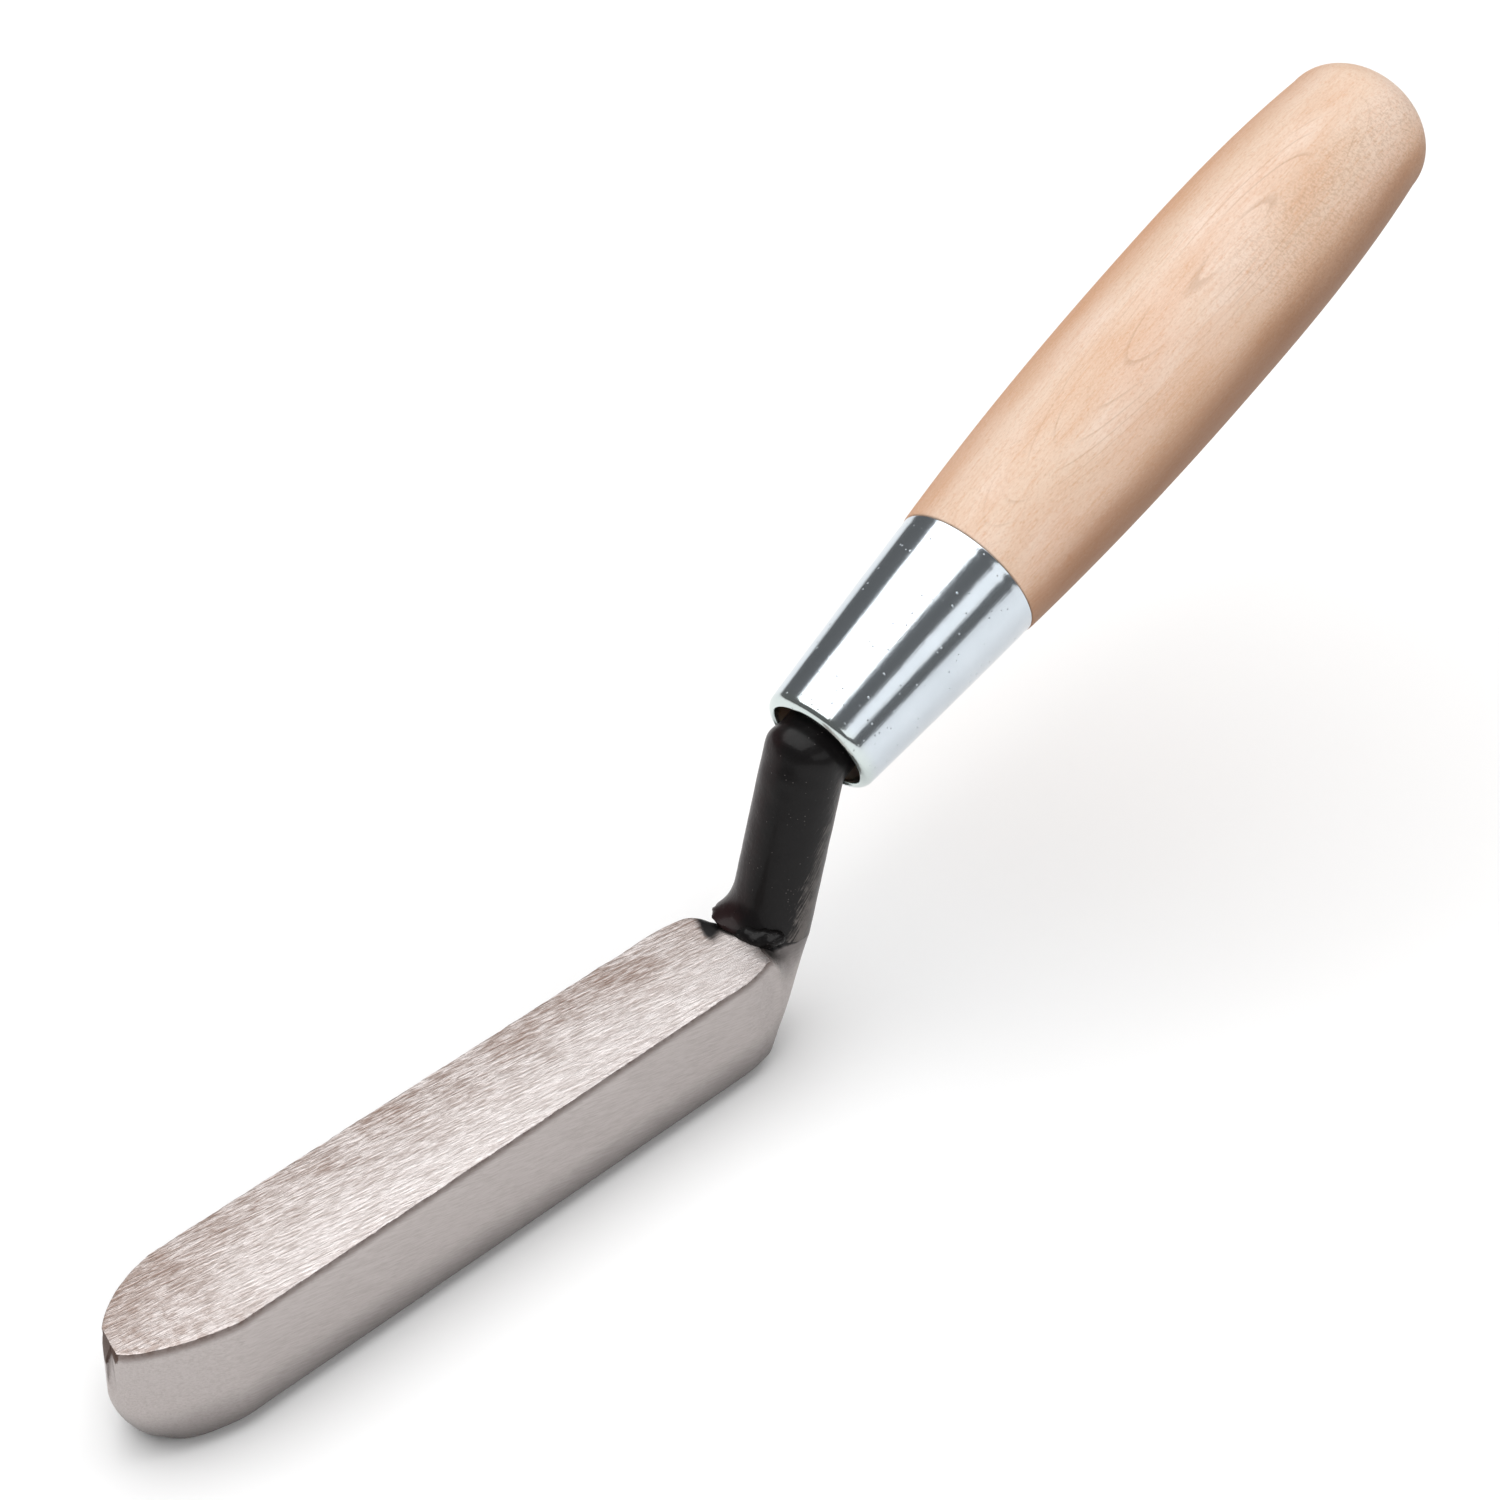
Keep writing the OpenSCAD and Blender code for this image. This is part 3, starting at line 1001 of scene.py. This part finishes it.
@dataclass
class WeldBead(Piece):
    """The run of weld round the front of the shank's foot."""

    far_turn: float = math.radians(66.0)
    near_turn: float = math.radians(62.0)
    wide: float = 1.60 * MM
    high: float = 1.45 * MM
    stand_off: float = 0.5 * MM
    ring_count: int = 120
    points: int = 28

    def shape(self) -> bmesh.types.BMesh:
        """Returns the bead's mesh."""
        plan = self.plan
        reach_x = plan.shank_r / math.sin(plan.shank_angle)
        middle = Vector((plan.foot_front.x + reach_x, 0.0, plan.top_z))
        rings = []
        for k in range(self.ring_count + 1):
            share = k / self.ring_count
            turn = between(self.far_turn, -self.near_turn, share)
            out = Vector((-math.cos(turn), math.sin(turn), 0.0))
            rim = (out.x * (reach_x + self.stand_off), out.y * (plan.shank_r + self.stand_off), 0.0)
            line = middle + Vector(rim)
            taper = max(1.0 - abs(2.0 * share - 1.0) ** 5.0, 0.02) ** 0.5
            size = between(0.12, 1.0, ease(1.8 * share - 0.35))
            ripple = size * (1.0 + 0.26 * unevenness(line, 2.4 * MM, 4.0))
            ring = []
            for j in range(self.points):
                a = math.tau * j / self.points
                point = line + out * (self.wide * taper * ripple * math.cos(a))
                point.z += self.high * taper * ripple * math.sin(a)
                lump = unevenness(point, 1.7 * MM, 9.0) * 0.42 + unevenness(point, 0.8 * MM, 1.0) * 0.10
                ring.append(point + (point - line).normalized() * (lump * ripple * taper * MM))
            rings.append(ring)
        return skin_over(rings)


class Station(NamedTuple):
    """A place along a rod: its middle, its direction, its radius and how far its front swells."""

    middle: Vector
    heading: Vector
    radius: float
    swell: float = 0.0


@dataclass
class Shank(Piece):
    """The round shank from the weld to the crank, and the tang hidden in the handle."""

    bend_r: float = 5.2 * MM
    bend_swell: float = 1.0 * MM
    root_depth: float = 0.12 * MM
    flare: float = 2.8 * MM
    flare_turn: float = math.radians(32.0)
    flare_height: float = 6.0 * MM
    flare_depth: float = 1.8 * MM
    rod_rings: int = 62
    bend_rings: int = 24
    tang_chamfer: float = 0.5 * MM
    points: int = 80

    def _stations(self) -> list[Station]:
        """Returns the places along the shank, the bend and the tang."""
        plan = self.plan
        turn = plan.shank_angle - plan.handle_angle
        tangent = self.bend_r * math.tan(turn / 2.0)
        start = plan.foot_centre - self.root_depth * plan.shank_dir
        bend_start = plan.crank - tangent * plan.shank_dir
        bend_middle = bend_start + self.bend_r * plan.shank_back
        stations = []
        for k in range(self.rod_rings):
            middle = between(start, bend_start, k / self.rod_rings)
            stations.append(Station(middle, plan.shank_dir, plan.shank_r))
        for k in range(self.bend_rings + 1):
            angle = plan.shank_angle - turn * k / self.bend_rings
            swell = self.bend_swell * math.sin(math.pi * (k / self.bend_rings) ** 1.5) ** 2.0
            middle = bend_middle - self.bend_r * behind(angle)
            stations.append(Station(middle, leaning(angle), plan.shank_r, swell))
        rod_end = plan.crank_to_mouth + plan.tang_start
        neck = plan.shank_r - plan.tang_r
        end = rod_end + plan.tang_len
        for distance, radius in (
            (rod_end, plan.shank_r), (rod_end + neck, plan.tang_r),
            (end - self.tang_chamfer, plan.tang_r), (end, plan.tang_r - self.tang_chamfer),
        ):
            stations.append(Station(plan.crank + distance * plan.handle_dir, plan.handle_dir, radius))
        return stations

    def _ring(self, station: Station) -> Ring:
        """Returns the ring of points at a station, flared where it meets the blade."""
        front = ACROSS.cross(station.heading).normalized() * -1.0
        if front.x > 0.0:
            front.negate()
        ring = []
        for k in range(self.points):
            angle = math.tau * k / self.points
            out = front * math.cos(angle) + ACROSS * math.sin(angle)
            point = station.middle + out * station.radius
            height = point.z - self.plan.top_z
            toward = clamp01(math.cos(angle - self.flare_turn)) ** 3.0
            spread = clamp01(1.0 - height / self.flare_height) ** 3.0
            spread *= clamp01(1.0 + height / self.flare_depth)
            swell = station.swell * max(math.cos(angle), 0.0)
            lump = 0.05 * unevenness(point, 2.6 * MM, 7.0) if station.radius > self.plan.tang_r else 0.0
            ring.append(point + out * (self.flare * spread * toward + swell + lump * MM))
        return ring

    def shape(self) -> bmesh.types.BMesh:
        """Returns the shank's mesh."""
        return skin_over([self._ring(station) for station in self._stations()])


@dataclass
class Turned(Piece):
    """A piece turned about the handle's axis from points of (radius, distance from the mouth)."""

    steps: int = 160
    closed: bool = False

    def profile(self) -> Profile:
        """Returns the points of the profile, in order."""
        raise NotImplementedError

    def shape(self) -> bmesh.types.BMesh:
        """Turns the profile and sets it on the handle's axis.

        Returns:
            The turned mesh, with its poles and seam merged.
        """
        mesh = bmesh.new()
        profile = self.profile()
        first = bmesh.ops.create_vert(mesh, co=(profile[0][0], 0.0, profile[0][1]))["vert"][0]
        last = first
        for radius, reach in profile[1:]:
            last = bmesh.ops.extrude_vert_indiv(mesh, verts=[last])["verts"][0]
            last.co = Vector((radius, 0.0, reach))
        if self.closed:
            bmesh.ops.contextual_create(mesh, geom=[last, first])
        bmesh.ops.spin(
            mesh, geom=list(mesh.verts) + list(mesh.edges), cent=UNTURNED, axis=(0.0, 0.0, 1.0),
            dvec=UNTURNED, angle=math.tau, steps=self.steps, use_merge=True,
        )
        bmesh.ops.remove_doubles(mesh, verts=list(mesh.verts), dist=MERGED)
        lean = Matrix.Rotation(math.radians(90.0) - self.plan.handle_angle, 4, "Y")
        place = Matrix.Translation(self.plan.mouth) @ lean
        bmesh.ops.transform(mesh, matrix=place, verts=list(mesh.verts))
        return mesh


@dataclass
class Ferrule(Turned):
    """The drawn cone with its front edge turned in."""

    steps: int = 192
    closed: bool = True
    edge_r: float = 0.28 * MM
    groove_from_rear: float = 1.25 * MM
    groove_width: float = 0.50 * MM
    groove_depth: float = 0.06 * MM

    def _groove(self, reach: float) -> float:
        """Returns the depth of the shallow groove in front of the rear edge."""
        away = (reach - self.plan.ferrule_len + self.groove_from_rear) / self.groove_width
        return self.groove_depth * math.exp(-away * away)

    def profile(self) -> Profile:
        """Returns the closed profile of the wall, from the inside of the lip round the outside."""
        plan = self.plan
        inside = plan.mouth_r
        roll = plan.ferrule_front_r - inside
        profile = [(inside, 1.5 * MM), (inside, 0.45 * MM), (inside + 0.10 * MM, 0.16 * MM)]
        for k in range(0, 15):
            a = math.radians(between(8.0, 90.0, k / 14))
            profile.append((inside + roll * math.sin(a), plan.lip_r * (1.0 - math.cos(a))))
        for k in range(1, 49):
            share = (k / 48) ** 0.6
            reach = between(plan.lip_r, plan.ferrule_len - self.edge_r, share)
            radius = between(plan.ferrule_front_r, plan.ferrule_rear_r, share)
            profile.append((radius + 0.06 * MM * math.sin(math.pi * share) - self._groove(reach), reach))
        rear, end = plan.ferrule_rear_r, plan.ferrule_len
        for k in range(1, 6):
            a = math.radians(90.0 * k / 5)
            round_in = self.edge_r * (1.0 - math.cos(a))
            profile.append((rear - round_in, end - self.edge_r * (1.0 - math.sin(a))))
        profile.append((rear - plan.ferrule_wall, end))
        profile.append((plan.ferrule_front_r - plan.ferrule_wall, 2.6 * MM))
        return profile


@dataclass
class Handle(Turned):
    """The turned grip, swelling from the ferrule to its middle and domed at the butt."""

    grip_len: float = 108.0 * MM
    grip_r: float = 14.7 * MM
    butt_r: float = 12.4 * MM
    dome_len: float = 9.5 * MM
    wood_step: float = 0.15 * MM
    bulge_share: float = 0.51
    fit: float = 0.05 * MM
    tang_fit: float = 0.1 * MM
    front_round: float = 0.25 * MM

    def _grip(self, reach: float) -> float:
        """Returns the grip's radius at a distance from the ferrule's mouth."""
        plan = self.plan
        start_r = plan.ferrule_rear_r + self.wood_step
        bulge = plan.ferrule_len + self.bulge_share * self.grip_len
        if reach < bulge:
            rise = clamp01((reach - plan.ferrule_len) / (bulge - plan.ferrule_len))
            return between(start_r, self.grip_r, 1.0 - (1.0 - rise) ** 2.2)
        dome = plan.ferrule_len + self.grip_len - self.dome_len
        return between(self.grip_r, self.butt_r, clamp01((reach - bulge) / (dome - bulge)) ** 2.6)

    def profile(self) -> Profile:
        """Returns the profile from the bottom of the tang's bore, round the front, to the butt."""
        plan = self.plan
        wood_front = plan.lip_r + 3.0 * MM
        neck_end = plan.tang_start + plan.shank_r - plan.tang_r + 1.0 * MM
        bore_end = plan.tang_start + plan.tang_len + 1.0 * MM
        bore, mouth = plan.tang_r + self.tang_fit, plan.shank_r + self.tang_fit
        rear = plan.ferrule_rear_r - plan.ferrule_wall - self.fit
        front = plan.ferrule_front_r - plan.ferrule_wall - self.fit
        slope = (rear - front) / (plan.ferrule_len - plan.lip_r)
        profile = [
            (0.0, bore_end), (bore, bore_end), (bore, neck_end), (mouth, neck_end), (mouth, wood_front),
            (front + slope * (wood_front - plan.lip_r), wood_front), (rear, plan.ferrule_len),
        ]
        start_r = self._grip(plan.ferrule_len)
        for k in range(4):
            a = math.radians(30.0 * k)
            radius = start_r - self.front_round * (1.0 - math.sin(a))
            profile.append((radius, plan.ferrule_len + self.front_round * (1.0 - math.cos(a))))
        dome = plan.ferrule_len + self.grip_len - self.dome_len
        for k in range(1, 71):
            reach = between(plan.ferrule_len + self.front_round, dome, k / 70)
            profile.append((self._grip(reach), reach))
        for k in range(1, 25):
            a = math.radians(90.0 * k / 24)
            radius = self.butt_r * math.cos(a) if k < 24 else 0.0
            profile.append((radius, dome + self.dome_len * math.sin(a)))
        return profile


# ---- studio


@dataclass(frozen=True)
class Softbox:
    """A soft square light that is aimed at the trowel."""

    name: str
    place: tuple[float, float, float]
    aim: tuple[float, float, float]
    size: tuple[float, float]
    radiance: float
    mirrored: bool = True

    def hang(self) -> None:
        """Hangs the light in its place."""
        light = bpy.data.lights.new(self.name, "AREA")
        light.shape = "RECTANGLE"
        light.size, light.size_y = self.size
        light.energy = self.radiance * math.pi * self.size[0] * self.size[1]
        lamp = bpy.data.objects.new(self.name, light)
        lamp.location = self.place
        back = Vector(self.place) - Vector(self.aim)
        lamp.rotation_euler = back.to_track_quat("Z", "Y").to_euler()
        lamp.visible_camera = False
        lamp.visible_glossy = self.mirrored
        bpy.context.scene.collection.objects.link(lamp)


@dataclass
class Studio:
    """The pale floor, the soft lights and the camera."""

    low: Vector
    high: Vector
    azimuth: float = math.radians(43.931)
    elevation: float = math.radians(35.436)
    roll: float = math.radians(-0.837)
    distance: float = 757.2 * MM
    aim_shift: tuple[float, float, float] = (4.14 * MM, 14.16 * MM, -17.6 * MM)
    lens: float = 120.0
    floor_size: float = 24.0
    room: float = 0.15
    backdrop: float = 0.92

    def lay_floor(self) -> None:
        """Lays the floor under the trowel."""
        mesh = bmesh.new()
        bmesh.ops.create_grid(mesh, x_segments=8, y_segments=8, size=self.floor_size / 2.0)
        data = bpy.data.meshes.new("floor")
        mesh.to_mesh(data)
        mesh.free()
        paper = Graph("floor_paper")
        shade = paper.surface({"Base Color": (0.93, 0.93, 0.93, 1.0), "Roughness": 0.85})
        data.materials.append(paper.finish(shade))
        floor = bpy.data.objects.new("floor", data)
        floor.location.z = self.low.z - 0.02 * MM
        bpy.context.scene.collection.objects.link(floor)
        floor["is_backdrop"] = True

    def light(self) -> None:
        """Hangs the soft lights and sets the dim room beyond them."""
        aim = (0.05, 0.0, 0.05)
        for box in (
            Softbox("softbox_top", (0.0, 0.55, 1.75), (0.0, 0.55, 0.0), (3.2, 2.7), 2.0),
            Softbox("softbox_front", (0.25, -1.75, 0.95), aim, (2.4, 0.70), 1.1),
            Softbox("softbox_fill", (-0.8, -1.4, 1.1), aim, (1.2, 1.2), 2.2, mirrored=False),
        ):
            box.hang()
        world = bpy.data.worlds.new("room")
        world.use_nodes = True
        bpy.context.scene.world = world
        tree = world.node_tree
        tree.nodes.clear()
        output = tree.nodes.new("ShaderNodeOutputWorld")
        blend = tree.nodes.new("ShaderNodeMixShader")
        path = tree.nodes.new("ShaderNodeLightPath")
        for number, level in ((1, self.room), (2, self.backdrop)):
            shade = tree.nodes.new("ShaderNodeBackground")
            shade.inputs["Color"].default_value = (level, level, level, 1.0)
            tree.links.new(shade.outputs[0], blend.inputs[number])
        tree.links.new(path.outputs["Is Camera Ray"], blend.inputs[0])
        tree.links.new(blend.outputs[0], output.inputs["Surface"])

    def set_camera(self) -> None:
        """Sets the camera on the trowel."""
        back = Vector((
            -math.cos(self.elevation) * math.cos(self.azimuth),
            -math.cos(self.elevation) * math.sin(self.azimuth),
            math.sin(self.elevation),
        ))
        right = (-back).cross(Vector((0.0, 0.0, 1.0))).normalized()
        up = right.cross(-back)
        turned_right = right * math.cos(self.roll) + up * math.sin(self.roll)
        turned_up = up * math.cos(self.roll) - right * math.sin(self.roll)
        aim = (self.low + self.high) / 2.0 + Vector(self.aim_shift)
        lens = bpy.data.cameras.new("camera")
        lens.lens = self.lens
        lens.sensor_width = 36.0
        lens.clip_start, lens.clip_end = 0.01, 100.0
        camera = bpy.data.objects.new("camera", lens)
        place = Matrix((turned_right, turned_up, back)).transposed().to_4x4()
        place.translation = aim + back * self.distance
        camera.matrix_world = place
        bpy.context.scene.collection.objects.link(camera)
        bpy.context.scene.camera = camera
        bpy.context.scene.view_settings.view_transform = "Standard"

    def build(self) -> None:
        """Sets the whole studio."""
        self.lay_floor()
        self.light()
        self.set_camera()


def ground_steels(plan: Plan) -> list[Finish]:
    """Makes the blade's two finishes.

    Args:
        plan: The shared plan.

    Returns:
        The coarse steel of the top face and the fine steel of the rest.
    """
    coarse = GroundSteel(
        "steel_ground_top", plan, light=(0.93, 0.875, 0.860, 1.0), dark=(0.36, 0.285, 0.255, 1.0),
        stroke_turn=(0.0, 0.0, math.radians(-8.6)), stroke_len=3.8 * MM, stroke_width=0.40 * MM,
        relief=0.21 * MM, contrast=1.0, roughness=0.38, shade_and_marks=0.0,
    )
    fine = GroundSteel(
        "steel_ground_side", plan, light=(0.52, 0.478, 0.465, 1.0), dark=(0.36, 0.318, 0.302, 1.0),
        stroke_turn=(0.0, math.radians(13.0), 0.0), stroke_len=3.4 * MM, stroke_width=0.22 * MM,
        relief=0.035 * MM, contrast=0.55, roughness=0.40, shade_and_marks=1.0,
    )
    return [coarse, fine]


def main() -> None:
    """Builds the trowel round the CAD frame, then the studio."""
    logging.basicConfig(level=logging.INFO, format="%(name)s: %(message)s")
    cad_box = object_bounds()
    plan = Plan.from_frame()
    pieces: list[Piece] = [
        Blade(plan, "blade_ground", Slot.BLADE, "blade", ground_steels(plan)),
        WeldBead(plan, "weld_run", Slot.WELD, "weld_bead", [WeldPaint("paint_on_weld", plan)]),
        Shank(plan, "shank_cranked", Slot.SHANK, "shank", [GlossPaint("paint_black", plan)]),
        Ferrule(plan, "ferrule_drawn", Slot.FERRULE, "ferrule", [ZincPlate("plate_zinc", plan)]),
        Handle(plan, "handle_turned", Slot.HANDLE, "handle", [TurnedWood("wood_turned", plan)]),
    ]
    for piece in pieces:
        made = piece.build()
        LOG.info("%s: %d faces", made.name, len(made.data.polygons))
    Studio(*cad_box).build()


if __name__ == "__main__":
    main()
